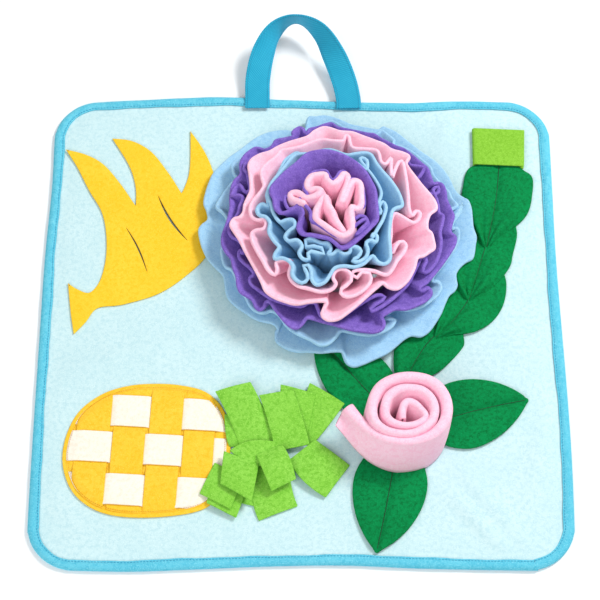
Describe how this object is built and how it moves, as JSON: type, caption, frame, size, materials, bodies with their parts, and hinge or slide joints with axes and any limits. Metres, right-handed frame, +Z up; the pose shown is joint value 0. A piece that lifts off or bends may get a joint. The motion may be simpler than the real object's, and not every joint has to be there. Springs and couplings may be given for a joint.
{
  "type": "snuffle mat",
  "caption": "Square fleece mat with a carry handle, sewn with a ruffled flower, a rolled rose, leaves, felt flaps and a woven patch between which dry treats are hidden.",
  "frame": {"origin": "centre of the mat panel's flat underside, on the surface that the mat lies on", "axes": "+Z up, out of the decorated face; +Y towards the carry handle; +X to the right, seen from above"},
  "size_m": [0.5053, 0.5916, 0.0776],
  "materials": {
    "panel_fleece": "soft matt fleece",
    "binding_fleece": "soft matt fleece",
    "webbing": "ribbed woven tape",
    "banana_felt": "matt felt",
    "yellow_felt": "matt felt",
    "cream_fleece": "soft matt fleece",
    "crown_felt": "matt felt",
    "tab_felt": "matt felt",
    "leaf_felt": "matt felt",
    "blue_fleece": "soft matt fleece",
    "purple_fleece": "soft matt fleece",
    "pink_fleece": "soft matt fleece"
  },
  "bodies": {
    "root": {"mat_panel": "panel_fleece", "edge_binding": "binding_fleece", "handle": "webbing", "banana": "banana_felt", "pineapple_ground": "yellow_felt", "weave_down_1": "yellow_felt", "weave_down_2": "yellow_felt", "weave_down_3": "yellow_felt", "weave_down_4": "yellow_felt", "weave_across_1": "cream_fleece", "weave_across_2": "cream_fleece", "weave_across_3": "cream_fleece", "crown_flap_01": "crown_felt", "crown_flap_02": "crown_felt", "crown_flap_03": "crown_felt", "crown_flap_04": "crown_felt", "crown_flap_05": "crown_felt", "crown_flap_06": "crown_felt", "crown_flap_07": "crown_felt", "crown_flap_08": "crown_felt", "crown_flap_09": "crown_felt", "crown_flap_10": "crown_felt", "crown_flap_11": "crown_felt", "crown_flap_12": "crown_felt", "crown_flap_13": "crown_felt", "garland_tab": "tab_felt", "garland_leaf_1": "leaf_felt", "garland_leaf_2": "leaf_felt", "garland_leaf_3": "leaf_felt", "garland_leaf_4": "leaf_felt", "rose_leaf_right": "leaf_felt", "rose_leaf_front": "leaf_felt", "rose_leaf_back": "leaf_felt", "rose": "pink_fleece", "ruffle_blue_outer": "blue_fleece", "ruffle_purple_outer": "purple_fleece", "ruffle_pink_outer": "pink_fleece", "ruffle_pink_inner": "pink_fleece", "ruffle_blue_inner": "blue_fleece", "ruffle_purple_inner": "purple_fleece", "ruffle_purple_collar": "purple_fleece", "ruffle_pink_centre": "pink_fleece"}
  },
  "joints": []
}
